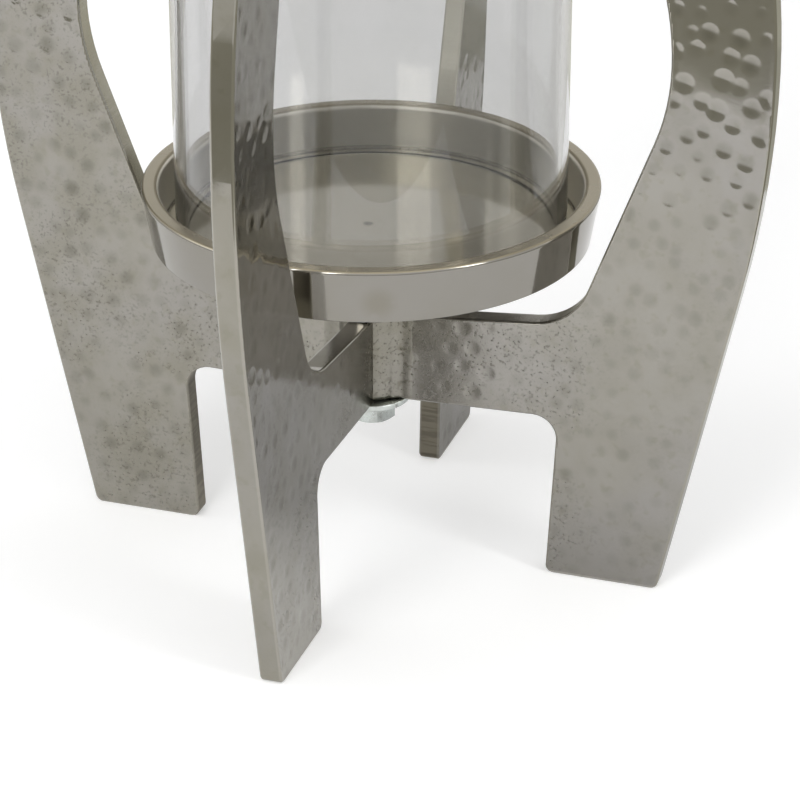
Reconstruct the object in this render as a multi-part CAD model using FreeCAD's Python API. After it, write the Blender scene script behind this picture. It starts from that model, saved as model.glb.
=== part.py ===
"""Candle lantern with four hammered legs, a round tray and a lift-out glass chimney.

Millimetres, +Z up. The origin is on the ground, on the lantern's axis. The right leg
points along +X and the front leg along -Y.
"""
import FreeCAD, Part
import math
import os

# Leg castings: flat plates, measured as radius from the axis and height above ground
plate_thickness = 7.0
foot_inner_radius = 58.5
foot_outer_radius = 94.5
foot_corner = 2.5
arch_inner_radius = 61.5      # the foot's inner edge, at the arch
arch_height = 54.8            # underside of the arm, at the foot
arch_corner = 7.5
hub_bottom_height = 53.5      # underside of the arms at the hub
arm_depth = 29.0
arm_seat_radius = 15.0        # the arms are level from the hub to here
arm_root_round = 20.0         # between the arm's top edge and the rib
rib_root_radius = 65.5        # where the rib's inner edge meets the arm's top edge
rib_root_height = 87.0

# Bulge of the ribs, and the bows above and below it
bulge_height = 173.0
bulge_outer_radius = 124.3
rib_width = 31.0
outer_bow_below = 330.0
inner_bow_below = 68.0
inner_bow_above = 95.0
tip_height = 300.0
tip_width = 21.0
tip_clearance = 6.5           # from the chimney's wall to the tips
tip_corner = 5.0
edge_break = 0.5              # filed edges of the plates

# Hub that the arms are welded to
hub_radius = 10.0
hub_bore_clearance = 0.5
hub_chamfer = 1.5
weld_round = 4.0
weld_land = 0.3

# Tray, with its pedestal
tray_base_height = 108.0
tray_height = 17.0
tray_rim_radius = 70.5
tray_base_radius = 67.6
rim_width = 5.4
floor_thickness = 2.7
floor_radius = 63.6
tray_edge_break = 0.5
pedestal_radius = 13.0
pedestal_round = 4.0

# Glass chimney
glass_radius = 60.0
glass_wall = 3.0
glass_height = 180.0
glass_lip_break = 0.8

# Clamp: stud, washer and nut of size M8
stud_radius = 4.0
stud_engagement = 18.0
stud_chamfer = 0.8
tap_run_out = 2.0
thread_clearance = 0.05
washer_radius = 12.0
washer_thickness = 2.0
washer_clearance = 0.4
nut_across_flats = 13.0
nut_height = 6.5
nut_sides = 6
nut_chamfer_angle = 30.0      # degrees

# Heights and radii that follow from the values above
hub_top_height = hub_bottom_height + arm_depth
bulge_inner_radius = bulge_outer_radius - rib_width
tip_inner_radius = glass_radius + tip_clearance
floor_height = tray_base_height + floor_thickness
rim_height = tray_base_height + tray_height
nut_top_height = hub_bottom_height - washer_thickness
stud_bottom_height = nut_top_height - nut_height
stud_top_height = hub_top_height + stud_engagement


def point(radius, height):
    """A point of a leg's outline or of a turned profile, in the XZ plane."""
    return FreeCAD.Vector(radius, 0, height)


def line(start, end):
    """A straight edge."""
    return Part.LineSegment(start, end).toShape()


def arc(start, middle, end):
    """A circular edge through three points."""
    return Part.Arc(start, middle, end).toShape()


def tangent_point(outside, centre, radius):
    """Where the line from a point outside touches a circle, on the side away from the axis."""
    to_point = outside - centre
    swing = math.acos(radius / to_point.Length)
    heading = math.atan2(to_point.z, to_point.x)
    swing_towards_level = -swing if heading > 0 else swing
    direction = heading + swing_towards_level
    return centre + point(radius * math.cos(direction), radius * math.sin(direction))


def bow_radius(end, apex):
    """Radius of the bow that leaves its apex upright and reaches the end point."""
    fall = end - apex
    return fall.Length ** 2 / (2 * abs(fall.x))


def bow(start, apex, radius):
    """The arc from a point to the apex of a bow whose centre is level with the apex."""
    centre = apex - point(radius, 0)
    to_start = start - centre
    half_angle = math.atan2(to_start.z, to_start.x) / 2
    middle = centre + point(radius * math.cos(half_angle), radius * math.sin(half_angle))
    return arc(start, middle, apex)


def turned(edges):
    """A closed profile in the XZ plane, turned once round the lantern's axis."""
    face = Part.Face(Part.Wire(edges))
    return face.revolve(FreeCAD.Vector(0, 0, 0), FreeCAD.Vector(0, 0, 1), 360)


def closed_lines(points):
    """Straight edges through the points and back to the first."""
    return [line(a, b) for a, b in zip(points, points[1:] + points[:1])]


def cylinder(radius, bottom, top):
    """An upright cylinder on the axis."""
    return Part.makeCylinder(radius, top - bottom, FreeCAD.Vector(0, 0, bottom))


def same(first, second):
    """Whether two lengths agree."""
    return abs(first - second) < Part.Precision.approximation()


def edges_at(shape, places):
    """The edges across the plate that pass through the given outline points."""
    found = []
    for place in places:
        found += [edge for edge in shape.Edges if same(edge.CenterOfMass.distanceToPoint(place), 0)]
    return found


def circles_at(shape, radius, height):
    """The circular edges of a turned piece at a radius and height."""
    found = []
    for edge in shape.Edges:
        if not isinstance(edge.Curve, Part.Circle):
            continue
        if same(edge.Curve.Center.z, height) and same(edge.Curve.Radius, radius):
            found.append(edge)
    return found


def leg_plate():
    """The right leg: foot, arm and rib in one outline, with its arm's end cut to the hub."""
    arch = point(arch_inner_radius, arch_height)
    foot_inner = point(foot_inner_radius, 0)
    foot_outer = point(foot_outer_radius, 0)
    outer_apex = point(bulge_outer_radius, bulge_height)
    inner_apex = point(bulge_inner_radius, bulge_height)
    rib_root = point(rib_root_radius, rib_root_height)
    tip_inner = point(tip_inner_radius, tip_height)
    tip_outer = point(tip_inner_radius + tip_width, tip_height)

    outer_touch = tangent_point(foot_outer, outer_apex - point(outer_bow_below, 0), outer_bow_below)
    inner_touch = tangent_point(rib_root, inner_apex - point(inner_bow_below, 0), inner_bow_below)
    inner_leave = tangent_point(tip_inner, inner_apex - point(inner_bow_above, 0), inner_bow_above)

    outline = Part.Wire([
        line(point(0, hub_bottom_height), point(arm_seat_radius, hub_bottom_height)),
        line(point(arm_seat_radius, hub_bottom_height), arch),
        line(arch, foot_inner),
        line(foot_inner, foot_outer),
        line(foot_outer, outer_touch),
        bow(outer_touch, outer_apex, outer_bow_below),
        bow(tip_outer, outer_apex, bow_radius(tip_outer, outer_apex)),
        line(tip_outer, tip_inner),
        line(tip_inner, inner_leave),
        bow(inner_leave, inner_apex, inner_bow_above),
        bow(inner_touch, inner_apex, inner_bow_below),
        line(inner_touch, rib_root),
        line(rib_root, point(arm_seat_radius, hub_top_height)),
        line(point(arm_seat_radius, hub_top_height), point(0, hub_top_height)),
        line(point(0, hub_top_height), point(0, hub_bottom_height)),
    ])
    plate = Part.Face(outline).extrude(FreeCAD.Vector(0, plate_thickness, 0))
    plate.translate(FreeCAD.Vector(0, -plate_thickness / 2, 0))

    plate = plate.makeFillet(arch_corner, edges_at(plate, [arch]))
    plate = plate.makeFillet(arm_root_round, edges_at(plate, [rib_root]))
    plate = plate.makeFillet(foot_corner, edges_at(plate, [foot_inner, foot_outer]))
    plate = plate.makeFillet(tip_corner, edges_at(plate, [tip_inner, tip_outer]))
    plate = plate.cut(cylinder(hub_radius, 0, tip_height))
    return break_rims(plate)


def break_rims(plate):
    """File off the long edges of both plate faces, up to the arm's level seat at the hub."""
    rims = []
    for edge in plate.Edges:
        middle = edge.CenterOfMass
        if same(abs(middle.y), plate_thickness / 2) and middle.x > arm_seat_radius:
            rims.append(edge)
    return plate.makeChamfer(edge_break, rims)


def weld_fillet():
    """Weld between the hub and one face of the right arm, ground to a hollow round."""
    face_offset = plate_thickness / 2
    centre_offset = face_offset + weld_land + weld_round
    centre_reach = math.sqrt((hub_radius + weld_round) ** 2 - centre_offset ** 2)
    heading = math.atan2(centre_offset, centre_reach)
    half_way = (heading + math.pi / 2) / 2
    centre = FreeCAD.Vector(centre_reach, centre_offset, hub_bottom_height)
    on_hub = centre * (hub_radius / (hub_radius + weld_round))
    on_hub.z = hub_bottom_height
    middle = centre - FreeCAD.Vector(math.cos(half_way), math.sin(half_way), 0) * weld_round
    on_arm = centre - FreeCAD.Vector(0, weld_round, 0)
    arm_edge = FreeCAD.Vector(centre_reach, face_offset, hub_bottom_height)
    root = FreeCAD.Vector(on_hub.x / 2, face_offset, hub_bottom_height)
    section = Part.Wire([line(root, arm_edge), line(arm_edge, on_arm), arc(on_arm, middle, on_hub),
                         line(on_hub, root)])
    return Part.Face(section).extrude(FreeCAD.Vector(0, 0, arm_depth))


def hub():
    """Bored boss, with weld fillets that lie along the left and right arms."""
    body = cylinder(hub_radius, hub_bottom_height, hub_top_height)
    body = body.makeChamfer(hub_chamfer, circles_at(body, hub_radius, hub_bottom_height))
    origin = FreeCAD.Vector(0, 0, 0)
    front_weld = weld_fillet()
    back_weld = front_weld.mirror(origin, FreeCAD.Vector(0, 1, 0))
    for weld in (front_weld, back_weld):
        body = body.fuse([weld, weld.mirror(origin, FreeCAD.Vector(1, 0, 0))])
    bore = cylinder(stud_radius + hub_bore_clearance, hub_bottom_height, hub_top_height)
    return body.cut(bore).removeSplitter()


def tray():
    """Dish with a drafted wall and flat rim, on a pedestal with a blind tapped hole."""
    tap_radius = stud_radius + thread_clearance
    tap_top = stud_top_height + tap_run_out
    profile = closed_lines([
        point(0, tap_top),
        point(tap_radius, tap_top),
        point(tap_radius, hub_top_height),
        point(pedestal_radius, hub_top_height),
        point(pedestal_radius, tray_base_height),
        point(tray_base_radius, tray_base_height),
        point(tray_rim_radius, rim_height),
        point(tray_rim_radius - rim_width, rim_height),
        point(floor_radius, floor_height),
        point(0, floor_height),
    ])
    dish = turned(profile)
    dish = dish.makeFillet(pedestal_round, circles_at(dish, pedestal_radius, tray_base_height))
    rims = circles_at(dish, tray_rim_radius, rim_height)
    rims += circles_at(dish, tray_rim_radius - rim_width, rim_height)
    rims += circles_at(dish, tray_base_radius, tray_base_height)
    return dish.makeChamfer(tray_edge_break, rims)


def glass_chimney():
    """Open glass tube that stands on the tray's floor, with broken lips."""
    top = floor_height + glass_height
    tube = cylinder(glass_radius, floor_height, top)
    tube = tube.cut(cylinder(glass_radius - glass_wall, floor_height, top))
    lips = []
    for radius in (glass_radius, glass_radius - glass_wall):
        for height in (floor_height, top):
            lips += circles_at(tube, radius, height)
    return tube.makeChamfer(glass_lip_break, lips)


def stud():
    """Rod from the pedestal's tapped hole down to the nut's lower face."""
    rod = cylinder(stud_radius, stud_bottom_height, stud_top_height)
    ends = circles_at(rod, stud_radius, stud_bottom_height)
    ends += circles_at(rod, stud_radius, stud_top_height)
    return rod.makeChamfer(stud_chamfer, ends)


def washer():
    """Flat ring between the nut and the hub."""
    ring = cylinder(washer_radius, nut_top_height, hub_bottom_height)
    return ring.cut(cylinder(stud_radius + washer_clearance, nut_top_height, hub_bottom_height))


def nut():
    """Hexagon with its corners turned off on both faces, and its bore."""
    face_radius = nut_across_flats / 2
    corner_radius = face_radius / math.cos(math.pi / nut_sides)
    corners = []
    for index in range(nut_sides):
        turn = 2 * math.pi * index / nut_sides
        corner = FreeCAD.Vector(math.cos(turn), math.sin(turn), 0) * corner_radius
        corners.append(corner + point(0, stud_bottom_height))
    prism = Part.Face(Part.Wire(closed_lines(corners))).extrude(point(0, nut_height))
    drop = (corner_radius - face_radius) * math.tan(math.radians(nut_chamfer_angle))
    barrel = turned(closed_lines([
        point(0, stud_bottom_height),
        point(face_radius, stud_bottom_height),
        point(corner_radius, stud_bottom_height + drop),
        point(corner_radius, nut_top_height - drop),
        point(face_radius, nut_top_height),
        point(0, nut_top_height),
    ]))
    return prism.common(barrel).cut(cylinder(stud_radius + thread_clearance, stud_bottom_height, nut_top_height))


def save(name, shape):
    """Write one piece to its own file."""
    shape.exportStep("parts/" + name + ".step")
    print(name, "solids", len(shape.Solids), "volume", round(shape.Volume, 1), "valid", shape.isValid())


os.makedirs("parts", exist_ok=True)
leg = leg_plate()
sides = ("right", "back", "left", "front")
for turns, side in enumerate(sides):
    placed = leg.copy()
    placed.rotate(FreeCAD.Vector(0, 0, 0), FreeCAD.Vector(0, 0, 1), 360 / len(sides) * turns)
    save("leg_" + side, placed)
save("hub", hub())
save("tray", tray())
save("glass_chimney", glass_chimney())
save("stud", stud())
save("washer", washer())
save("nut", nut())
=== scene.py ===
# %% [markdown]
# A hammered candle lantern, step by step.
# Four flat nickel plates stand round one axis and carry a round tray with a loose glass
# chimney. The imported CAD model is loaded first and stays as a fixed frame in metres. Every
# new piece is made at the place that the frame gives for it.

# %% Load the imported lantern
import math

import bmesh
import bpy
import numpy as np
from mathutils import Matrix, Vector, kdtree, noise


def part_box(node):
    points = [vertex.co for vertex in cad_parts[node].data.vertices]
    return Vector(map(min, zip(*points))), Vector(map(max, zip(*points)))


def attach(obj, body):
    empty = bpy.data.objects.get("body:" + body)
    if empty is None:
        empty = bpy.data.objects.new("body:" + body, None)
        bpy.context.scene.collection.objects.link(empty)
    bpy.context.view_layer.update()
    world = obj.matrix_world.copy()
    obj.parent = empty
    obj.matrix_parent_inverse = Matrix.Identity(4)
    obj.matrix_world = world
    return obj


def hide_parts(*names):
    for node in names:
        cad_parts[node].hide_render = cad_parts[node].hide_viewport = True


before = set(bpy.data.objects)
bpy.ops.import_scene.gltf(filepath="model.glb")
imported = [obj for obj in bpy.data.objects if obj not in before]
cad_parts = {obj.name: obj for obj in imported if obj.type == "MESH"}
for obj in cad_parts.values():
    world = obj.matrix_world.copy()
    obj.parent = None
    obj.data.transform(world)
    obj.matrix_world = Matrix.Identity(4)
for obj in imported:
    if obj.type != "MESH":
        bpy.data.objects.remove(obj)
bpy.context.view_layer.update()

mm = 0.001
print("parts of the frame:", ", ".join(sorted(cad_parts)))

# %% [markdown]
# The camera comes first, because everything is judged through it.
# It stands a metre away with a long lens, turned a little to the right of the front leg and
# looking down, as a product picture is taken. The place and lens were worked out from the
# glass and the tray, whose rims are true circles.

# %% Camera
camera_place = (0.30785, -0.90403, 0.51975)
camera_look_down = math.radians(26.2)
camera_turn = math.radians(18.28)
camera_lens = 151.94
sensor_width = 36

bpy.ops.object.select_all(action="DESELECT")
camera_pose = (math.radians(90) - camera_look_down, 0, camera_turn)
bpy.ops.object.camera_add(location=camera_place, rotation=camera_pose)
camera = bpy.context.object
camera.name = "photo_camera"
camera.data.lens = camera_lens
camera.data.sensor_width = sensor_width
bpy.context.scene.camera = camera
bpy.context.scene.view_settings.view_transform = "Standard"
print("camera lens in mm:", camera.data.lens)

# %% [markdown]
# Small helpers keep the node trees readable.
# Each one adds one kind of node and either sets a socket or links it, depending on whether
# it is handed a number or another node's output.


# %% Helpers for node trees
def put(tree, socket, value):
    """Links an output into a socket, or sets the socket to a plain value."""
    if isinstance(value, bpy.types.NodeSocket):
        tree.links.new(value, socket)
    else:
        socket.default_value = value


def add_node(tree, kind, settings=None, **values):
    """Adds a shader node, with its settings and its sockets by name."""
    made = tree.nodes.new("ShaderNode" + kind)
    for key, value in (settings or {}).items():
        setattr(made, key, value)
    for name, value in values.items():
        put(tree, made.inputs[name.replace("_", " ")], value)
    return made


def calculate(tree, operation, first, second):
    """The result of one Math node."""
    made = add_node(tree, "Math", {"operation": operation})
    put(tree, made.inputs[0], first)
    put(tree, made.inputs[1], second)
    return made.outputs[0]


def times(tree, first, second):
    """Two values multiplied."""
    return calculate(tree, "MULTIPLY", first, second)


def plus(tree, first, second):
    """Two values added."""
    return calculate(tree, "ADD", first, second)


def mix_colours(tree, share, first, second):
    """Goes from the first colour to the second as the share goes from 0 to 1."""
    made = add_node(tree, "Mix", {"data_type": "RGBA"})
    put(tree, made.inputs[0], share)
    put(tree, made.inputs[6], first)
    put(tree, made.inputs[7], second)
    return made.outputs[2]


def rescale(tree, value, low, high, new_low=0.0, new_high=1.0):
    """Stretches the span low to high into a new span, with soft ends."""
    made = add_node(tree, "MapRange", {"interpolation_type": "SMOOTHSTEP"})
    put(tree, made.inputs["Value"], value)
    put(tree, made.inputs["From Min"], low)
    put(tree, made.inputs["From Max"], high)
    put(tree, made.inputs["To Min"], new_low)
    put(tree, made.inputs["To Max"], new_high)
    return made.outputs["Result"]


def distance_to(tree, place, spot):
    """How far each point is from one spot."""
    made = add_node(tree, "VectorMath", {"operation": "DISTANCE"})
    put(tree, made.inputs[0], place)
    put(tree, made.inputs[1], spot)
    return made.outputs["Value"]


def distance_from_axis(tree, spots):
    """How far each point is from the axis of the lantern."""
    flat_place = add_node(tree, "CombineXYZ", X=spots.outputs["X"], Y=spots.outputs["Y"])
    made = add_node(tree, "VectorMath", {"operation": "LENGTH"})
    put(tree, made.inputs[0], flat_place.outputs[0])
    return made.outputs["Value"]


def stored_mask(tree, name):
    """A mask that is stored on the mesh under a name."""
    return add_node(tree, "Attribute", {"attribute_name": name}).outputs["Fac"]


def empty_tree(owner):
    """The node tree of a material or world, with nothing in it."""
    owner.use_nodes = True
    owner.node_tree.nodes.clear()
    return owner.node_tree


def metal_surface(tree, colour, roughness, bump):
    """Ends the tree of a metal with its shader and its output."""
    metal = add_node(
        tree, "BsdfPrincipled", Base_Color=colour, Metallic=1.0, Roughness=roughness, Normal=bump.outputs[0]
    )
    add_node(tree, "OutputMaterial", Surface=metal.outputs[0])


print("node helpers are ready")

# %% [markdown]
# The studio is a pale table in an evenly lit room.
# Metal shows what stands round it, so the room matters more than the lamps. The world and
# the floor look white to the camera, to reflections and through glass, and light the rest at
# a plain level. The floor is a real diffuse surface and keeps the lantern's shadow.


# %% World and floor
def seen_directly(tree):
    """1 for camera, mirror and glass rays, and 0 for light that bounces off matt surfaces."""
    path = add_node(tree, "LightPath")
    mirror = calculate(tree, "MAXIMUM", path.outputs["Is Camera Ray"], path.outputs["Is Glossy Ray"])
    return calculate(tree, "MAXIMUM", mirror, path.outputs["Is Transmission Ray"])


room_light = 0.52
world = bpy.data.worlds.new("pale_room")
bpy.context.scene.world = world
tree = empty_tree(world)
room_strength = rescale(tree, seen_directly(tree), 0.0, 1.0, room_light, 1.0)
background = add_node(tree, "Background", Color=(1, 1, 1, 1), Strength=room_strength)
add_node(tree, "OutputWorld", Surface=background.outputs[0])

floor_width = 8.0
floor_grey = (0.80, 0.80, 0.80, 1)
floor_lift = 0.34
bpy.ops.object.select_all(action="DESELECT")
bpy.ops.mesh.primitive_plane_add(size=floor_width)
floor = bpy.context.object
floor.name = "pale_floor"
floor_paint = bpy.data.materials.new("pale_floor_paint")
tree = empty_tree(floor_paint)
matt = add_node(tree, "BsdfDiffuse", Color=floor_grey)
lift = times(tree, seen_directly(tree), floor_lift)
glow = add_node(tree, "Emission", Color=(1, 1, 1, 1), Strength=lift)
paint = add_node(tree, "AddShader")
put(tree, paint.inputs[0], matt.outputs[0])
put(tree, paint.inputs[1], glow.outputs[0])
add_node(tree, "OutputMaterial", Surface=paint.outputs[0])
floor.data.materials.append(floor_paint)
print("floor width in m:", floor_width)

# %% [markdown]
# A large softbox hangs overhead, a smaller one is at the left, and two stand in front.
# The front ones give the arrises and the rim their thin bright lines, and the glass shows
# them as bright bands that the tray mirrors.

# %% Softboxes
lantern_middle = (0, 0, 0.15)


def softbox(name, place, width, height, power):
    """A rectangular lamp that looks from its place at the middle of the lantern."""
    bpy.ops.object.select_all(action="DESELECT")
    turn = (Vector(lantern_middle) - Vector(place)).to_track_quat("-Z", "Y").to_euler()
    bpy.ops.object.light_add(type="AREA", location=place, rotation=turn)
    lamp = bpy.context.object
    lamp.name = name
    lamp.data.shape = "RECTANGLE"
    lamp.data.size = width
    lamp.data.size_y = height
    lamp.data.energy = power
    print(name, "has a power of", power, "W")


softbox("top_softbox", place=(0.1, -0.3, 1.7), width=2.8, height=2.8, power=10)
softbox("left_softbox", place=(-1.6, -0.4, 1.1), width=0.9, height=0.9, power=4)
softbox("front_softbox", place=(-0.24, -1.46, 0.95), width=0.6, height=0.9, power=10.5)
softbox("right_softbox", place=(1.37, -0.53, 0.92), width=0.32, height=0.9, power=6)

# %% [markdown]
# The table ends a little way from the lantern, and past its edges the room is dimmer.
# Warm grey cards lie there that only mirrors can see. The tops of the plates and the far side
# of each hammer mark pick them up, and that is what makes the hammering show.

# %% Dim room round the table
table_edges = {"front": 0.393, "right": 0.26, "back": 0.36, "left": 0.80}
room_glow = {"front": 1.0, "right": 1.0, "back": 1.25, "left": 1.0}
table_slope = 0.45
table_turn = math.atan(table_slope)
card_width = 8.0
card_depth = 3.5
card_lift = 2 * mm
dim_room = (0.51, 0.50, 0.43, 1)


def mirror_card(name, place, turn, width, depth, paint):
    """A card lying on the floor that only mirror rays can see."""
    bpy.ops.object.select_all(action="DESELECT")
    bpy.ops.mesh.primitive_plane_add(size=1, location=place, rotation=(0, 0, turn))
    card = bpy.context.object
    card.name = name
    card.scale = (width, depth, 1)
    for ray in ("camera", "diffuse", "transmission", "volume_scatter", "shadow"):
        setattr(card, "visible_" + ray, False)
    card.data.materials.append(paint)


for count, (side, distance) in enumerate(table_edges.items()):
    dim_paint = bpy.data.materials.new("dim_room_paint_" + side)
    tree = empty_tree(dim_paint)
    dim_glow = add_node(tree, "Emission", Color=dim_room, Strength=room_glow[side])
    add_node(tree, "OutputMaterial", Surface=dim_glow.outputs[0])
    turn = table_turn + count * math.pi / 2
    away = Vector((math.sin(turn), -math.cos(turn), 0))
    spot = away * (distance + card_depth / 2) + Vector((0, 0, card_lift))
    mirror_card("dim_room_" + side, spot, turn, card_width, card_depth, dim_paint)
print("distance from the axis to the table edges:", table_edges)

# %% [markdown]
# The table is darker under the lantern, where the tray and the legs shade it.
# The floor is lifted to white for the camera, which also hides most of this shade. A clear
# card with a dark middle brings it back in the mirrors, on the insides of the legs.

# %% Shade under the lantern
shade_width = 0.50
shade_middle = (0.03, 0.06, 0)
shade_inner = 0.03
shade_outer = 0.14
shade_dark = 0.60
shade_paint = bpy.data.materials.new("table_shade")
tree = empty_tree(shade_paint)
place = add_node(tree, "NewGeometry").outputs["Position"]
spread = distance_to(tree, place, shade_middle)
shade = rescale(tree, spread, shade_inner, shade_outer, shade_dark, 1.0)
see_through = add_node(tree, "BsdfTransparent", Color=shade)
add_node(tree, "OutputMaterial", Surface=see_through.outputs[0])
mirror_card("table_shade_card", (0, 0, card_lift / 2), 0, shade_width, shade_width, shade_paint)
print("shade width in m:", shade_width)

# %% [markdown]
# Blender's operators act on whatever is selected.
# So each piece starts by being the only thing selected. A copy of a CAD part arrives as
# loose triangles with fixed normals, and is merged before it is worked on.

# %% Helpers for modelling
merge_distance = 1e-6
cast_crease = 60
turned_crease = 40
steel_crease = 35


def select_only(piece):
    """Makes one object the selected and active one."""
    bpy.ops.object.select_all(action="DESELECT")
    piece.select_set(True)
    bpy.context.view_layer.objects.active = piece


def merged_copy(name, node):
    """A new piece with a copy of a CAD part's mesh, its triangles joined."""
    piece = bpy.data.objects.new(name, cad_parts[node].data.copy())
    bpy.context.scene.collection.objects.link(piece)
    piece.data.materials.clear()
    select_only(piece)
    bpy.ops.mesh.customdata_custom_splitnormals_clear()
    bpy.ops.object.mode_set(mode="EDIT")
    bpy.ops.mesh.select_all(action="SELECT")
    bpy.ops.mesh.remove_doubles(threshold=merge_distance)
    bpy.ops.object.mode_set(mode="OBJECT")
    return piece


def vertex_values(piece, what):
    """The places or the normals of a piece's vertices, one row each."""
    values = np.empty(len(piece.data.vertices) * 3)
    piece.data.vertices.foreach_get(what, values)
    return values.reshape(-1, 3)


def store_masks(piece, masks):
    """Stores one number per vertex under each name, for the materials to read."""
    for name, values in masks.items():
        layer = piece.data.attributes.new(name, "FLOAT", "POINT")
        layer.data.foreach_set("value", values.astype(np.float32))


def smooth(piece, angle):
    """Smooth shading, except across edges sharper than the angle in degrees."""
    select_only(piece)
    bpy.ops.object.shade_smooth_by_angle(angle=math.radians(angle))


def apply_modifier(piece, name):
    """Turns a modifier's result into the piece's own mesh."""
    select_only(piece)
    bpy.ops.object.modifier_apply(modifier=name)


def finish_piece(piece, body, node):
    """Lets a piece move with its body and stand for its CAD part."""
    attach(piece, body)
    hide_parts(node)
    print(piece.name, "has", len(piece.data.polygons), "faces")


print("modelling helpers are ready")

# %% [markdown]
# The legs are castings that were beaten with a ball hammer on their broad faces.
# A bump texture would not catch the mirror images as the real dents do, so the dents are
# geometry. One CAD leg is copied, each broad face is dissolved into one polygon, and this is
# sliced into a fine grid. Hundreds of slices by hand are not practical, so a loop makes them
# and works only on the part of the face that is still whole.

# %% Slice the broad faces of one leg
leg_low, leg_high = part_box("leg_right")
half_plate = leg_high.y
grid_step = 0.56 * mm
support_inset = 0.85 * mm
flat_enough = 0.999


def slice_faces(shape, faces, direction, start, stop):
    """Cuts faces by parallel planes, one grid step apart, from start to stop."""
    axis = Vector(direction)
    for count in range(1, math.ceil((stop - start) / grid_step)):
        level = start + count * grid_step
        parts = set(faces)
        for face in faces:
            parts.update(face.edges)
            parts.update(face.verts)
        cut = bmesh.ops.bisect_plane(
            shape, geom=list(parts), dist=merge_distance, plane_co=axis * level, plane_no=axis
        )
        left = [part for part in cut["geom"] if isinstance(part, bmesh.types.BMFace)]
        faces = [face for face in left if face.calc_center_median().dot(axis) > level]


def broad_faces(shape):
    """The faces that look straight out of either side of the plate."""
    shape.normal_update()
    return [face for face in shape.faces if abs(face.normal.y) > flat_enough]


leg_blank = merged_copy("leg_blank", "leg_right")
shape = bmesh.new()
shape.from_mesh(leg_blank.data)
bmesh.ops.dissolve_faces(shape, faces=broad_faces(shape))
for side in (-1, 1):
    support = Vector((0, side * (half_plate - support_inset), 0))
    everything = shape.verts[:] + shape.edges[:] + shape.faces[:]
    bmesh.ops.bisect_plane(
        shape, geom=everything, dist=merge_distance, plane_co=support, plane_no=(0, 1, 0)
    )
slice_faces(shape, broad_faces(shape), (1, 0, 0), leg_low.x, leg_high.x)
slice_faces(shape, broad_faces(shape), (0, 0, 1), leg_low.z, leg_high.z)
shape.to_mesh(leg_blank.data)
print("the sliced leg has", len(shape.faces), "faces")

# %% [markdown]
# A ball hammer leaves shallow round dents that are wider where the blow was harder.
# All blows come from one ball, so a dent's depth follows from its width. The dents sit in
# staggered rows with some scatter, are strongest on the ribs, and fade on the arm and foot
# that were only dressed flat.

# %% Hammer blows
ball_radius = 34 * mm
row_gap = 7.4 * mm
blow_gap = 8.4 * mm
blow_scatter = 2.7 * mm
dent_narrow = 2.1 * mm
dent_wide = 3.2 * mm
rim_softness = 0.012 * mm
hammered_above = 118 * mm
dressed_below = 60 * mm
dressed_share = 0.80


def hammer_blows(seed):
    """Places and widths of the blows on one broad face, in rows up the leg."""
    chance = np.random.default_rng(seed)
    blows = []
    for row, height in enumerate(np.arange(leg_low.z, leg_high.z, row_gap)):
        shift = blow_gap / 2 * (row % 2)
        for reach in np.arange(leg_low.x + shift, leg_high.x, blow_gap):
            scatter = chance.normal(0, blow_scatter / 2, 2)
            width = chance.uniform(dent_narrow, dent_wide)
            blows.append((reach + scatter[0], height + scatter[1], width))
    return np.array(blows)


def dent_depth(reach, height, blows):
    """How deep the deepest dent is at each point of a face."""
    deepest = np.full(len(reach), -1.0)
    for blow_reach, blow_height, width in blows:
        strength = np.interp(blow_height, (dressed_below, hammered_above), (dressed_share, 1))
        width = width * math.sqrt(strength)
        away = (reach - blow_reach) ** 2 + (height - blow_height) ** 2
        deepest = np.maximum(deepest, (width**2 - away) / (2 * ball_radius))
    return (deepest + np.sqrt(deepest**2 + rim_softness**2)) / 2


print("dents are up to", 2 * dent_wide / mm, "mm wide")

# %% [markdown]
# The sliced leg is sorted into faces, narrow edges and arrises.
# Dents fade out near the arrises, so the outline stays crisp. The masks that are kept on the mesh tell the
# material where edges were filed, where they were sawn, and where painted shade goes: on the sawn edges, on
# the edges that face outwards and in the corners by the weld.

# %% Masks on the leg
border_fade = 1.6 * mm
edge_look_from = 0.2
edge_look_full = 0.5
rib_starts = 92 * mm
rib_blend = 5 * mm
weld_starts = 10 * mm
weld_spread = 6 * mm


def smooth_step(value, low, high):
    """Goes softly from 0 at low to 1 at high."""
    share = np.clip((value - low) / (high - low), 0, 1)
    return share * share * (3 - 2 * share)


border = set()
broad = set(broad_faces(shape))
for face in shape.faces:
    if face not in broad:
        border.update(vert for vert in face.verts if abs(vert.co.y) > half_plate - merge_distance)
near_border = kdtree.KDTree(len(border))
for index, vert in enumerate(border):
    near_border.insert(vert.co, index)
near_border.balance()
shape.free()

points = vertex_values(leg_blank, "co")
on_face = np.abs(points[:, 1]) > half_plate - merge_distance
gap = np.array([near_border.find(point)[2] if on else 0 for point, on in zip(points, on_face)])
inside = smooth_step(gap, 0, border_fade)
plate_edge = np.where(on_face & (gap > merge_distance), 0.0, 1.0)
on_arris = np.abs(points[:, 1]) > half_plate - support_inset + merge_distance
arris = np.where(on_arris & (plate_edge > 0), 1.0, 0.0)
outward_look = vertex_values(leg_blank, "normal")[:, 0]
facing_axis = plate_edge * smooth_step(-outward_look, edge_look_from, edge_look_full)
on_rib = smooth_step(points[:, 2], rib_starts - rib_blend, rib_starts + rib_blend)
filed_edge = facing_axis * on_rib
# Edges that face the axis below the rib: saw marks, darkened as painted shade in the material.
sawn_shaded_edge = facing_axis * (1 - on_rib)
# Edges that face away from the axis: the material darkens them as painted shade.
shaded_outer_edge = plate_edge * smooth_step(outward_look, edge_look_from, edge_look_full)
from_axis = np.hypot(points[:, 0], points[:, 1])
# Painted shade: the leg is darkened near the hub, in the corners of the weld.
weld_corner_shade = 1 - smooth_step(from_axis, weld_starts, weld_starts + weld_spread)
print("points on the broad faces:", np.count_nonzero(on_face))

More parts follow.
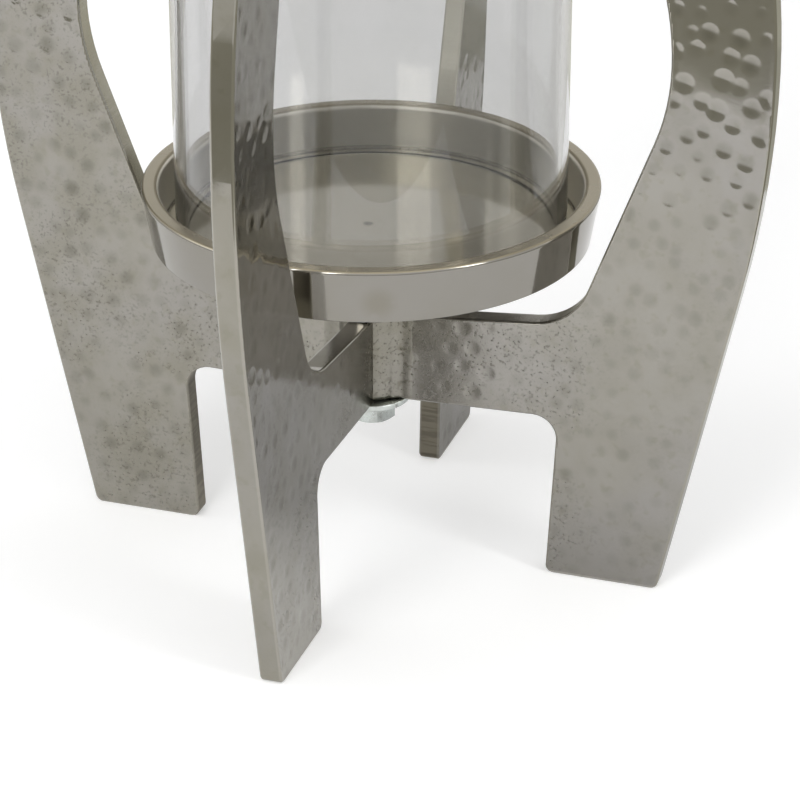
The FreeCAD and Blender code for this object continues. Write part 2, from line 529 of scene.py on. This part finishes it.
# %% [markdown]
# Each leg gets its own blows, and a slow wave that keeps its faces from being dead flat.
# The four legs have aged differently: the left one is the most tarnished, and the right one
# the least.

# %% Hammer the legs
wave_depth = 0.07 * mm
wave_length = 24 * mm
full_dent = dent_wide**2 / (2 * ball_radius)
leg_tarnish = {"right": 0.10, "back": 0.5, "left": 1.0, "front": 0.5}
# How much painted shade the outward edges of each leg get.
edge_shade_share = {"right": 0.75, "back": 0.4, "left": 0.4, "front": 0.2}
filed_bright = {"right": 0.6, "back": 1.0, "left": 0.3, "front": 0.6}


def hammered_leg(side, turn, seed):
    """A copy of the sliced leg with its own hammer marks, turned into its place."""
    piece = bpy.data.objects.new("hammered_leg_" + side, leg_blank.data.copy())
    bpy.context.scene.collection.objects.link(piece)
    beaten = points.copy()
    hollow = np.zeros(len(points))
    for face_side in (-1, 1):
        rows = np.flatnonzero(on_face & (points[:, 1] * face_side > 0))
        spots = points[rows]
        depth = dent_depth(spots[:, 0], spots[:, 2], hammer_blows([seed, face_side + 1]))
        away = Vector((seed, face_side, 0))
        wave = np.array([noise.noise(Vector(spot) / wave_length + away) for spot in spots])
        hollow[rows] = inside[rows] * np.clip(depth / full_dent, 0, 1)
        beaten[rows, 1] -= face_side * inside[rows] * (depth + wave_depth * (wave + 1) / 2)
    piece.data.vertices.foreach_set("co", beaten.ravel())
    masks = {
        "arris": arris,
        "plate_edge": plate_edge,
        "filed_edge": filed_edge * filed_bright[side],
        "sawn_shaded_edge": sawn_shaded_edge,
        "shaded_outer_edge": shaded_outer_edge * edge_shade_share[side],
        "tarnish": np.full(len(points), leg_tarnish[side]),
        "hollow": hollow,
        "weld_corner_shade": weld_corner_shade,
    }
    store_masks(piece, masks)
    select_only(piece)
    piece.rotation_euler.z = turn
    bpy.ops.object.transform_apply(location=False, rotation=True, scale=False)
    smooth(piece, cast_crease)
    finish_piece(piece, "frame", "leg_" + side)
    return piece


legs = []
for quarter, side in enumerate(leg_tarnish):
    legs.append(hammered_leg(side, quarter * math.pi / 2, quarter + 1))
bpy.data.objects.remove(leg_blank)

# %% [markdown]
# The tray, the chimney and the washer are round, so they are spun like work on a lathe.
# One point is extruded along the section, and the section is spun round the axis. Each
# corner of the section is drawn as an arc, with a point held beside it so that the flats
# next to it stay flat in the mirror.

# %% Helpers for turned pieces
arc_step = math.radians(11)
hold_share = 0.4
round_steps = 192


def rounded_section(corners):
    """A section of (radius, height, rounding) corners with an arc at each rounded corner."""
    section = []
    neighbours = zip(corners[-1:] + corners[:-1], corners, corners[1:] + corners[:1])
    for before, here, after in neighbours:
        corner = Vector(here[:2])
        rounding = here[2]
        if not rounding:
            section.append(corner)
            continue
        back = (Vector(before[:2]) - corner).normalized()
        ahead = (Vector(after[:2]) - corner).normalized()
        half_angle = back.angle(ahead) / 2
        reach = rounding / math.tan(half_angle)
        hold = reach + hold_share * rounding
        middle = corner + (back + ahead).normalized() * rounding / math.sin(half_angle)
        spoke = corner + back * reach - middle
        sweep = -spoke.angle_signed(corner + ahead * reach - middle)
        steps = max(2, math.ceil(abs(sweep) / arc_step))
        section.append(corner + back * hold)
        for step in range(steps + 1):
            section.append(middle + Matrix.Rotation(sweep * step / steps, 2) @ spoke)
        section.append(corner + ahead * hold)
    return [Vector((point.x, 0, point.y)) for point in section]


def drawn_line(name, line):
    """A new piece that is one line, drawn by extruding a single point, left in edit mode."""
    bpy.ops.object.select_all(action="DESELECT")
    bpy.ops.mesh.primitive_plane_add(size=mm)
    piece = bpy.context.object
    piece.name = name
    bpy.ops.object.mode_set(mode="EDIT")
    bpy.ops.mesh.select_all(action="SELECT")
    bpy.ops.mesh.merge(type="CENTER")
    bpy.ops.transform.translate(value=line[0])
    for here, there in zip(line, line[1:]):
        bpy.ops.mesh.extrude_region_move(TRANSFORM_OT_translate={"value": there - here})
    return piece


def turned_piece(name, section, steps, closed):
    """Spins a section round the axis, and closes it first where it is a ring."""
    piece = drawn_line(name, section + section[:1] if closed else section)
    bpy.ops.mesh.select_all(action="SELECT")
    bpy.ops.mesh.spin(steps=steps, angle=2 * math.pi, center=(0, 0, 0), axis=(0, 0, 1))
    bpy.ops.mesh.select_all(action="SELECT")
    bpy.ops.mesh.remove_doubles(threshold=merge_distance)
    bpy.ops.mesh.normals_make_consistent(inside=False)
    bpy.ops.object.mode_set(mode="OBJECT")
    return piece


print("turning helpers are ready")

# %% [markdown]
# The tray is a turned dish with a drafted wall and a flat satin rim.
# A short pedestal under its floor stands on the arms. The section runs from the middle of
# the floor, over the rim, down the outside and into the tapped hole of the pedestal.

# %% Tray
tray_low, tray_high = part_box("tray")
glass_low, glass_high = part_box("glass_chimney")
stud_low, stud_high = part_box("stud")
rim_radius = tray_high.x
rim_height = tray_high.z
hub_top = tray_low.z
floor_height = glass_low.z
floor_thickness = 2.7 * mm
rim_width = 5.4 * mm
wall_draft = 2.9 * mm
floor_radius = 63.6 * mm
pedestal_radius = 13 * mm
pedestal_round = 4 * mm
floor_corner_round = 0.3 * mm
rim_inner_round = 1.7 * mm
rim_outer_round = 1.0 * mm
wall_foot_round = 0.4 * mm
pedestal_foot_round = 0.5 * mm
tap_radius = stud_high.x
tap_spare = 2 * mm
tap_end = stud_high.z + tap_spare
base_height = floor_height - floor_thickness
tray_corners = [
    (0, floor_height, 0),
    (floor_radius, floor_height, floor_corner_round),
    (rim_radius - rim_width, rim_height, rim_inner_round),
    (rim_radius, rim_height, rim_outer_round),
    (rim_radius - wall_draft, base_height, wall_foot_round),
    (pedestal_radius, base_height, pedestal_round),
    (pedestal_radius, hub_top, pedestal_foot_round),
    (tap_radius, hub_top, 0),
    (tap_radius, tap_end, 0),
    (0, tap_end, 0),
]
tray = turned_piece("turned_tray", rounded_section(tray_corners), round_steps, False)
smooth(tray, turned_crease)
finish_piece(tray, "frame", "tray")

# %% [markdown]
# The chimney is a plain glass cylinder, open at both ends.
# Its top lip was melted round in a flame, and its foot was ground flat with a small chamfer.
# The wall keeps its real thickness, because that is what bends the light at its sides.

# %% Glass chimney
glass_radius = glass_high.x
glass_wall = 3 * mm
lip_round = 1.3 * mm
foot_round = 0.4 * mm
glass_corners = [
    (glass_radius - glass_wall, glass_low.z, foot_round),
    (glass_radius, glass_low.z, foot_round),
    (glass_radius, glass_high.z, lip_round),
    (glass_radius - glass_wall, glass_high.z, lip_round),
]
chimney = turned_piece("glass_cylinder", rounded_section(glass_corners), round_steps, True)
smooth(chimney, turned_crease)
finish_piece(chimney, "chimney", "glass_chimney")

# %% [markdown]
# The hub is the bored boss that the four arms are welded to.
# The weld beads on the left and right arms were ground into smooth hollows. The CAD shape has
# crisp joins there. A short collar is added where the arms run in, and the whole is remeshed
# finely and then smoothed, which melts the beads into the boss and the arms as grinding does.

# %% Hub
hub_low, hub_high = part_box("hub")
hub_radius = hub_high.y
hub_height = hub_high.z - hub_low.z
hub_middle = (hub_low.z + hub_high.z) / 2
weld_grain = 0.42 * mm
grind_share = 0.5
grind_rounds = 30
streak_width = 3.2 * mm
streak_stretch = 0.15
streak_depth = 0.28 * mm
collar_reach = 24 * mm
collar_proud = 0.9 * mm
collar_sides = 128
bpy.ops.object.select_all(action="DESELECT")
bpy.ops.mesh.primitive_cylinder_add(
    vertices=collar_sides, radius=1, depth=hub_height, location=(0, 0, hub_middle)
)
collar = bpy.context.object
collar.scale = (collar_reach, half_plate + collar_proud, 1)
bpy.ops.object.transform_apply()
hub = merged_copy("welded_hub", "hub")
collar.select_set(True)
bpy.ops.object.join()
melt = hub.modifiers.new("melt", "REMESH")
melt.mode = "VOXEL"
melt.voxel_size = weld_grain
grind = hub.modifiers.new("grind", "SMOOTH")
grind.factor = grind_share
grind.iterations = grind_rounds
apply_modifier(hub, "melt")
apply_modifier(hub, "grind")
for vert in hub.data.vertices:
    streak = Vector((vert.co.x, vert.co.y, vert.co.z * streak_stretch)) / streak_width
    outwards = Vector((vert.co.x, vert.co.y, 0)).normalized()
    vert.co -= outwards * streak_depth * (noise.noise(streak) + 1) / 2
print("the ground hub has", len(hub.data.vertices), "points")

# %% [markdown]
# Painted shade darkens the corners of the weld and the foot of the hub, and, more lightly, the whole hub
# under the tray.
# The hub has two mirror planes, so one quarter of it is measured and stands for all four.

# %% Painted shade on the hub
weld_toe = 12 * mm
boss_shade = 0.45
corner_spread = 3.0 * mm
hub_points = np.abs(vertex_values(hub, "co"))
seam = np.hypot(hub_points[:, 0] - half_plate, hub_points[:, 1] - hub_radius)
toe = np.hypot(hub_points[:, 0] - weld_toe, hub_points[:, 1] - half_plate)
foot = hub_points[:, 2] - hub_low.z
nearest = np.minimum(np.minimum(seam, toe), foot)
# Painted shade: dark in the weld corners and at the foot, and lighter over the whole hub.
corner_shade = 1 - smooth_step(nearest, 0, corner_spread)
hub_shade = boss_shade + (1 - boss_shade) * corner_shade
store_masks(hub, {"tarnish": np.ones(len(hub_points)), "weld_corner_shade": hub_shade})
smooth(hub, cast_crease)
finish_piece(hub, "frame", "hub")

# %% [markdown]
# A threaded stud pulls the tray down on the hub.
# Its thread is a zigzag line that the Screw modifier winds up by one pitch in a turn, and it
# is cut flat at both ends.

# %% Stud
thread_pitch = 1.25 * mm
thread_depth = 0.68 * mm
thread_steps = 28
spare_turns = 2
first_turn = -1.5
crest = stud_high.x
root = crest - thread_depth
turns = math.ceil((stud_high.z - stud_low.z) / thread_pitch) + spare_turns
zigzag = []
for turn in range(turns):
    height = stud_low.z + (turn + first_turn) * thread_pitch
    zigzag.append(Vector((root, 0, height)))
    zigzag.append(Vector((crest, 0, height + thread_pitch / 2)))
stud = drawn_line("threaded_stud", zigzag)
bpy.ops.object.mode_set(mode="OBJECT")
winding = stud.modifiers.new("winding", "SCREW")
winding.screw_offset = thread_pitch
winding.steps = thread_steps
winding.render_steps = thread_steps
apply_modifier(stud, "winding")
bpy.ops.object.mode_set(mode="EDIT")
for height, upwards in ((stud_low.z, -1), (stud_high.z, 1)):
    bpy.ops.mesh.select_all(action="SELECT")
    bpy.ops.mesh.bisect(
        plane_co=(0, 0, height), plane_no=(0, 0, upwards), clear_outer=True, use_fill=True
    )
bpy.ops.mesh.select_all(action="SELECT")
bpy.ops.mesh.remove_doubles(threshold=merge_distance)
bpy.ops.mesh.normals_make_consistent(inside=False)
bpy.ops.object.mode_set(mode="OBJECT")
smooth(stud, steel_crease)
finish_piece(stud, "frame", "stud")

# %% [markdown]
# A large flat washer spreads the pull of the nut.
# It is punched from sheet, so its edges are slightly round.

# %% Washer
washer_low, washer_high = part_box("washer")
washer_bore = 4.4 * mm
washer_round = 0.45 * mm
washer_steps = 96
washer_corners = [
    (washer_bore, washer_low.z, washer_round),
    (washer_high.x, washer_low.z, washer_round),
    (washer_high.x, washer_high.z, washer_round),
    (washer_bore, washer_high.z, washer_round),
]
washer = turned_piece("flat_washer", rounded_section(washer_corners), washer_steps, True)
smooth(washer, turned_crease)
finish_piece(washer, "frame", "washer")

# %% [markdown]
# The nut keeps its CAD shape, with a fine bevel on its edges to catch the light.
# Its flats are dissolved first, so that the bevel meets whole faces.

# %% Nut
nut_bevel = 0.18 * mm
bevel_segments = 2
bevel_from = math.radians(25)
flat_within = math.radians(1)
nut = merged_copy("hexagon_nut", "nut")
bpy.ops.object.mode_set(mode="EDIT")
bpy.ops.mesh.select_all(action="SELECT")
bpy.ops.mesh.dissolve_limited(angle_limit=flat_within)
bpy.ops.object.mode_set(mode="OBJECT")
softening = nut.modifiers.new("softening", "BEVEL")
softening.width = nut_bevel
softening.segments = bevel_segments
softening.limit_method = "ANGLE"
softening.angle_limit = bevel_from
apply_modifier(nut, "softening")
smooth(nut, steel_crease)
finish_piece(nut, "frame", "nut")

# %% [markdown]
# Two effects appear on several of the metals, so each is a node group.
# Clouds are the uneven warm tarnish that old nickel takes on. Pits are the small dark pores
# of a casting, which come in clusters.


# %% Shared effects
def new_group(name, inputs, outputs):
    """An empty node group with named float or vector inputs and float outputs."""
    group = bpy.data.node_groups.new(name, "ShaderNodeTree")
    for label, kind in inputs:
        group.interface.new_socket(label, in_out="INPUT", socket_type="NodeSocket" + kind)
    for label in outputs:
        group.interface.new_socket(label, in_out="OUTPUT", socket_type="NodeSocketFloat")
    entry = group.nodes.new("NodeGroupInput")
    way_out = group.nodes.new("NodeGroupOutput")
    return group, entry, way_out


def use_group(tree, group, **values):
    """Places a node group in a tree and sets or links its inputs."""
    made = tree.nodes.new("ShaderNodeGroup")
    made.node_tree = group
    for name, value in values.items():
        put(tree, made.inputs[name.replace("_", " ")], value)
    return made


print("group helpers are ready")

# %% [markdown]
# Clouds have a wide part and small spots, which are 3.7 times finer.
# Pits are fine specks that show only where a slower noise gathers them in clusters.

# %% Clouds and pits
spot_fineness = 3.7
tarnish_clouds, entry, way_out = new_group(
    "tarnish_clouds", (("Place", "Vector"), ("Scale", "Float")), ("Clouds", "Spots")
)
group_place = entry.outputs["Place"]
spot_scale = times(tarnish_clouds, entry.outputs["Scale"], spot_fineness)
wide = add_node(tarnish_clouds, "TexNoise", Vector=group_place, Scale=entry.outputs["Scale"], Detail=5.0)
spotty = add_node(tarnish_clouds, "TexNoise", Vector=group_place, Scale=spot_scale, Detail=2.0)
put(tarnish_clouds, way_out.inputs["Clouds"], rescale(tarnish_clouds, wide.outputs["Fac"], 0.35, 0.68))
put(tarnish_clouds, way_out.inputs["Spots"], rescale(tarnish_clouds, spotty.outputs["Fac"], 0.56, 0.70))

casting_pits, entry, way_out = new_group(
    "casting_pits", (("Place", "Vector"), ("Scale", "Float"), ("Cluster", "Float")), ("Pits",)
)
group_place = entry.outputs["Place"]
specks = add_node(
    casting_pits, "TexNoise", Vector=group_place, Scale=entry.outputs["Scale"], Detail=1.0, Distortion=0.2
)
flocks = add_node(casting_pits, "TexNoise", Vector=group_place, Scale=entry.outputs["Cluster"], Detail=3.0)
speck_mask = rescale(casting_pits, specks.outputs["Fac"], 0.54, 0.72)
flock_mask = rescale(casting_pits, flocks.outputs["Fac"], 0.36, 0.58)
put(casting_pits, way_out.inputs["Pits"], times(casting_pits, speck_mask, flock_mask))
print("effects:", tarnish_clouds.name, casting_pits.name)

# %% [markdown]
# The hammered nickel is a warm grey mirror that has gone soft with age.
# Its tree starts from the masks on the mesh, the two shared effects and the place on the
# lantern. The arms were left closer to their cast skin, so they have a mask of their own.

# %% Hammered nickel: where things are
arm_ends = (55 * mm, 85 * mm)
arm_tops = (85 * mm, 105 * mm)
hammered_nickel = bpy.data.materials.new("hammered_nickel")
tree = empty_tree(hammered_nickel)
place = add_node(tree, "TexCoord").outputs["Object"]
spots = add_node(tree, "SeparateXYZ", Vector=place)
rubbed = stored_mask(tree, "arris")
filing = stored_mask(tree, "filed_edge")
sawing_and_shade = stored_mask(tree, "sawn_shaded_edge")
hollow = stored_mask(tree, "hollow")
narrow = stored_mask(tree, "plate_edge")
outer_edge_shade_mask = stored_mask(tree, "shaded_outer_edge")
corner = stored_mask(tree, "weld_corner_shade")
age = stored_mask(tree, "tarnish")
clouds = use_group(tree, tarnish_clouds, Place=place, Scale=70.0)
pits = use_group(tree, casting_pits, Place=place, Scale=960.0, Cluster=34.0)
arm_reach = rescale(tree, distance_from_axis(tree, spots), *arm_ends, 1.0, 0.0)
arm_height = rescale(tree, spots.outputs["Z"], *arm_tops, 1.0, 0.0)
on_arm = times(tree, arm_reach, arm_height)
print("masks are read from the mesh of", legs[0].name)

# %% [markdown]
# The colour drifts between warm and lilac greys, and tarnish turns it greenish.
# Legs that aged more have deeper clouds. Dirt has stayed in the hollows of the dents.

# %% Hammered nickel: tarnish
warm_grey = (0.316, 0.303, 0.272, 1)
lilac_grey = (0.312, 0.300, 0.281, 1)
green_grey = (0.225, 0.212, 0.160, 1)
hollow_grey = (0.150, 0.143, 0.118, 1)
even_tarnish = 0.10
spot_tarnish = 0.26
drift = add_node(tree, "TexNoise", Vector=place, Scale=17.0, Detail=3.0)
colour = mix_colours(tree, rescale(tree, drift.outputs["Fac"], 0.4, 0.62), warm_grey, lilac_grey)
cloud_depth = rescale(tree, age, 0.0, 1.0, 0.20, 0.40)
cloud_share = times(tree, clouds.outputs["Clouds"], cloud_depth)
cloud_share = plus(tree, cloud_share, times(tree, age, even_tarnish))
colour = mix_colours(tree, cloud_share, colour, green_grey)
colour = mix_colours(tree, times(tree, clouds.outputs["Spots"], spot_tarnish), colour, green_grey)
hollow_depth = rescale(tree, clouds.outputs["Clouds"], 0.0, 1.0, 0.30, 0.75)
hollow_share = times(tree, hollow, rescale(tree, age, 0.0, 1.0, 0.70, 1.0))
colour = mix_colours(tree, times(tree, hollow_share, hollow_depth), colour, hollow_grey)
print("tarnish goes from", warm_grey[:3], "to", green_grey[:3])

# %% [markdown]
# Pores darken the metal in clusters, most of all on the arms.
# The narrow edges show few of them. The edges that face outwards are darkened with painted shade, the ones
# that face the glass were filed bright, and the insides of the feet show the saw and are darkened with
# painted shade. Painted shade also darkens the metal by the weld.

# %% Hammered nickel: pores and edges
pit_brown = (0.105, 0.098, 0.078, 1)
weld_shade_dark = (0.095, 0.088, 0.066, 1)
filed_beige = (0.86, 0.83, 0.72, 1)
# The sawn colours are saw marks darkened with painted shade.
sawn_shade_brown = (0.205, 0.186, 0.142, 1)
sawn_shade_dark = (0.145, 0.130, 0.098, 1)
rubbed_bright = (0.42, 0.405, 0.36, 1)
arm_pits = 0.50
edge_cover = 0.9
rubbed_share = 0.4
pit_depth = rescale(tree, age, 0.0, 1.0, 0.05, 0.40)
pit_depth = calculate(tree, "MAXIMUM", pit_depth, times(tree, on_arm, arm_pits))
pit_depth = times(tree, pit_depth, rescale(tree, narrow, 0.0, 1.0, 1.0, 0.2))
pit_share = times(tree, pits.outputs["Pits"], pit_depth)
colour = mix_colours(tree, pit_share, colour, pit_brown)
# Painted shade on the edges that face outwards.
colour = mix_colours(tree, outer_edge_shade_mask, colour, green_grey)
# Painted shade by the weld, uneven in strength.
weld_shade_depth = rescale(tree, clouds.outputs["Spots"], 0.0, 1.0, 0.45, 0.90)
colour = mix_colours(tree, times(tree, corner, weld_shade_depth), colour, weld_shade_dark)
colour = mix_colours(tree, times(tree, filing, edge_cover), colour, filed_beige)
tool_lines = add_node(tree, "Mapping", Vector=place, Scale=(110, 110, 950))
tool_marks = add_node(tree, "TexNoise", Vector=tool_lines.outputs[0], Scale=1.0, Detail=3.0)
# Saw marks and painted shade on the inner edges of the feet.
saw_marks_and_shade = mix_colours(tree, rescale(tree, tool_marks.outputs["Fac"], 0.40, 0.60), sawn_shade_dark, sawn_shade_brown)
colour = mix_colours(tree, times(tree, sawing_and_shade, edge_cover), colour, saw_marks_and_shade)
colour = mix_colours(tree, times(tree, rubbed, rubbed_share), colour, rubbed_bright)
print("edges are filed, sawn or rubbed bright")

# %% [markdown]
# Tool marks and pores roughen the mirror, and they are felt as a slight relief.
# The metal is smoother higher up, where it was polished most.

# %% Hammered nickel: roughness and relief
sawn_roughness = 0.7
cloud_roughness = 0.05
pit_roughness = 0.25
tool_roughness = 0.42
tool_relief = 3.0
pit_relief = 0.4
tooled = plus(tree, filing, times(tree, sawing_and_shade, sawn_roughness))
roughness = rescale(tree, spots.outputs["Z"], 50 * mm, 150 * mm, 0.19, 0.07)
roughness = plus(tree, roughness, times(tree, clouds.outputs["Clouds"], cloud_roughness))
roughness = plus(tree, roughness, times(tree, pit_share, pit_roughness))
roughness = plus(tree, roughness, times(tree, tooled, tool_roughness))
relief = times(tree, times(tree, tool_marks.outputs["Fac"], tooled), tool_relief)
relief = calculate(tree, "SUBTRACT", relief, times(tree, pit_share, pit_relief))
bump = add_node(tree, "Bump", Strength=0.16, Distance=0.3 * mm, Height=relief)
metal_surface(tree, colour, roughness, bump)
for piece in legs + [hub]:
    piece.data.materials.append(hammered_nickel)
print("hammered nickel on", len(legs), "legs and the hub")

# %% [markdown]
# The tray is the same nickel, polished on a lathe and warmer in colour.
# Most of its pattern follows the radius, so it is worked out from the distance to the axis.
# The inside is painted brighter than the outside, as painted light that makes up for the grey glass, and
# the inner wall is painted near white as painted light; the rim was left satin and has a straw tint.

# %% Polished nickel: inside, outside and rim
champagne = (0.272, 0.260, 0.236, 1)
tarnished = (0.240, 0.222, 0.180, 1)
# Painted light: the inside colours are brighter to make up for the light the grey glass takes away.
inner_polish_and_light = (0.430, 0.405, 0.335, 1)
wall_painted_light = (0.800, 0.765, 0.670, 1)
straw = (0.270, 0.238, 0.170, 1)
tray_tarnish = 0.35
rim_inside = rim_radius - rim_width
polished_nickel = bpy.data.materials.new("polished_nickel")
tree = empty_tree(polished_nickel)
place = add_node(tree, "TexCoord").outputs["Object"]
spots = add_node(tree, "SeparateXYZ", Vector=place)
height = spots.outputs["Z"]
radius = distance_from_axis(tree, spots)
clouds = use_group(tree, tarnish_clouds, Place=place, Scale=30.0)
above_floor = rescale(tree, height, base_height + 0.5 * mm, floor_height - 0.1 * mm)
within_rim = rescale(tree, radius, rim_inside + 1.0 * mm, rim_inside + 1.6 * mm, 1.0, 0.0)
inner = times(tree, above_floor, within_rim)
up_wall = rescale(tree, radius, floor_radius - 0.2 * mm, floor_radius + 0.1 * mm)
at_wall = times(tree, inner, up_wall)
rim = rescale(tree, height, rim_height - 0.6 * mm, rim_height - 0.2 * mm)
colour = mix_colours(tree, times(tree, clouds.outputs["Clouds"], tray_tarnish), champagne, tarnished)
# Painted light brightens the inside and the inner wall.
colour = mix_colours(tree, inner, colour, inner_polish_and_light)
colour = mix_colours(tree, at_wall, colour, wall_painted_light)
colour = mix_colours(tree, rim, colour, straw)
print("the polished inside ends at radius", rim_inside)

# %% [markdown]
# Small stains make the tray look used.
# There is one from a thumb on the front wall and a dark dot in the middle of the floor. The corner round
# the floor is darkened too.

# %% Polished nickel: stains and turning rings
thumb_place = (0.0241, -0.0652, 0.1145)
centre_place = (-0.0011, -0.0001, floor_height)
stain_brown = (0.190, 0.168, 0.120, 1)
corner_brown = (0.12, 0.105, 0.075, 1)
thumb_share = 0.35
corner_share = 0.85
wall_roughness = 0.36
rim_roughness = 0.20


def stain(spot, size):
    """A mask that is 1 at a spot and fades out unevenly round it."""
    uneven = times(tree, clouds.outputs["Spots"], size * 0.4)
    spread = plus(tree, distance_to(tree, place, spot), uneven)
    return rescale(tree, spread, size * 0.2, size, 1.0, 0.0)


thumb_stain = times(tree, stain(thumb_place, 7 * mm), thumb_share)
centre_mark = stain(centre_place, 2.2 * mm)
near_wall = rescale(tree, radius, floor_radius - 1.2 * mm, floor_radius - 0.3 * mm)
near_floor = rescale(tree, height, floor_height + 0.4 * mm, floor_height + 1.2 * mm, 1.0, 0.0)
# The corner round the floor is darkened.
darker_floor_corner = times(tree, times(tree, near_wall, near_floor), inner)
colour = mix_colours(tree, thumb_stain, colour, stain_brown)
colour = mix_colours(tree, centre_mark, colour, corner_brown)
colour = mix_colours(tree, times(tree, darker_floor_corner, corner_share), colour, corner_brown)
roughness = rescale(tree, clouds.outputs["Clouds"], 0.0, 1.0, 0.055, 0.11)
roughness = plus(tree, roughness, times(tree, at_wall, wall_roughness))
roughness = plus(tree, roughness, times(tree, rim, rim_roughness))
rings = add_node(tree, "TexNoise", {"noise_dimensions": "1D"}, W=radius, Scale=2600.0, Detail=2.0)
bump = add_node(tree, "Bump", Strength=0.05, Distance=0.1 * mm, Height=rings.outputs["Fac"])
metal_surface(tree, colour, roughness, bump)
tray.data.materials.append(polished_nickel)
print("polished nickel on", tray.name)

# %% [markdown]
# The glass is tinted grey as painted shade, standing in for the dim backdrop behind it, and has a trace of
# dust and wiping marks. Part of the tint sits in the body of the glass, so the edges, where light travels a
# long way inside the wall, turn as grey as the middle. Metallic and transmission stay plain numbers, and
# only the colour and the roughness change over the surface.

# %% Glass tinted grey with painted shade
# Painted shade: the grey tints stand in for the dim backdrop seen through clear glass.
clean_shade_tint = (0.80, 0.80, 0.80, 1)
dusty_shade_tint = (0.775, 0.775, 0.77, 1)
body_shade_tint = (0.5, 0.5, 0.5, 1)
shade_tinted_glass = bpy.data.materials.new("shade_tinted_glass")
tree = empty_tree(shade_tinted_glass)
place = add_node(tree, "TexCoord").outputs["Object"]
wiped = add_node(tree, "Mapping", Vector=place, Scale=(30, 30, 9))
haze = add_node(tree, "TexNoise", Vector=wiped.outputs[0], Scale=1.0, Detail=4.0)
dust = rescale(tree, haze.outputs["Fac"], 0.45, 0.75)
colour = mix_colours(tree, dust, clean_shade_tint, dusty_shade_tint)
roughness = rescale(tree, dust, 0.0, 1.0, 0.012, 0.03)
glass = add_node(
    tree, "BsdfPrincipled", Base_Color=colour, Metallic=0.0, Roughness=roughness, IOR=1.5,
    Transmission_Weight=1.0,
)
depth = add_node(tree, "VolumeAbsorption", Color=body_shade_tint, Density=36.0)
add_node(tree, "OutputMaterial", Surface=glass.outputs[0], Volume=depth.outputs[0])
chimney.data.materials.append(shade_tinted_glass)
print("grey glass on", chimney.name)

# %% [markdown]
# The small steel parts have a pale zinc plating with a faint green cast.
# Plating is finely crystalline, so its roughness and colour are grainy.

# %% Zinc plate
pale_zinc = (0.66, 0.70, 0.68, 1)
dull_zinc = (0.50, 0.52, 0.49, 1)
dark_zinc = (0.16, 0.16, 0.14, 1)
dull_share = 0.6
grain_share = 0.2
zinc_plate = bpy.data.materials.new("zinc_plate")
tree = empty_tree(zinc_plate)
place = add_node(tree, "TexCoord").outputs["Object"]
clouds = use_group(tree, tarnish_clouds, Place=place, Scale=160.0)
pits = use_group(tree, casting_pits, Place=place, Scale=900.0, Cluster=120.0)
grain = times(tree, pits.outputs["Pits"], grain_share)
colour = mix_colours(tree, times(tree, clouds.outputs["Clouds"], dull_share), pale_zinc, dull_zinc)
colour = mix_colours(tree, grain, colour, dark_zinc)
roughness = rescale(tree, clouds.outputs["Clouds"], 0.0, 1.0, 0.24, 0.38)
relief = calculate(tree, "SUBTRACT", 0.0, grain)
bump = add_node(tree, "Bump", Strength=0.2, Distance=0.1 * mm, Height=relief)
metal_surface(tree, colour, roughness, bump)
for piece in (stud, washer, nut):
    piece.data.materials.append(zinc_plate)
print("zinc plate on the stud, washer and nut")
